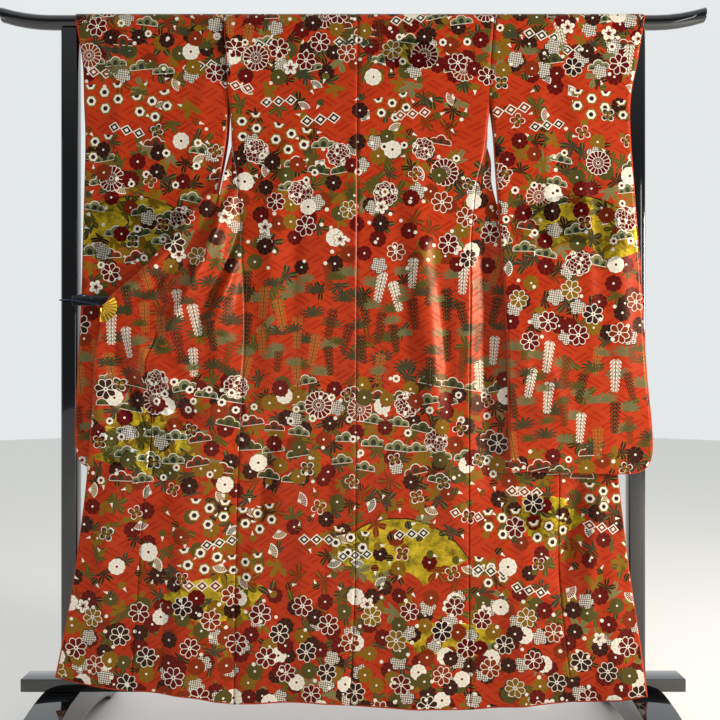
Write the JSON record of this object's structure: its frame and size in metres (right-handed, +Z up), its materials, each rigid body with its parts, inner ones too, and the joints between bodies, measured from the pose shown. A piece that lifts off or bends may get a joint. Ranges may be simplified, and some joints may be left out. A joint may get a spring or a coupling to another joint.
{
  "type": "furisode kimono on a kimono stand",
  "caption": "Long-sleeved silk kimono draped over the rail of a black lacquered stand, its back shown and its fronts spread to both sides, one clipped to a post.",
  "frame": {"origin": "on the floor under the middle of the stand", "axes": "+Z up, +X to the right of someone who looks at the kimono's back, +Y away from them, through the stand"},
  "size_m": [1.668, 0.48, 1.729],
  "materials": {
    "figured_silk": "vermilion figured silk, dyed all over with blossoms and gold, softly lustrous",
    "black_lacquered_wood": "glossy black lacquer",
    "black_clip": "glossy black",
    "gold_fan": "polished gold-coloured, pleated",
    "navy_cord": "twisted cord"
  },
  "bodies": {
    "root": {"back_left": "figured_silk", "back_right": "figured_silk", "front_left": "figured_silk", "front_right": "figured_silk", "overlap_left": "figured_silk", "overlap_right": "figured_silk", "collar": "figured_silk", "sleeve_left": "figured_silk", "sleeve_right": "figured_silk", "top_rail": "black_lacquered_wood", "post_left": "black_lacquered_wood", "post_right": "black_lacquered_wood", "plank": "black_lacquered_wood", "foot_left": "black_lacquered_wood", "foot_right": "black_lacquered_wood", "clip_jaw": "black_clip", "clip_fan": "gold_fan", "tie_cord": "navy_cord"}
  },
  "joints": []
}
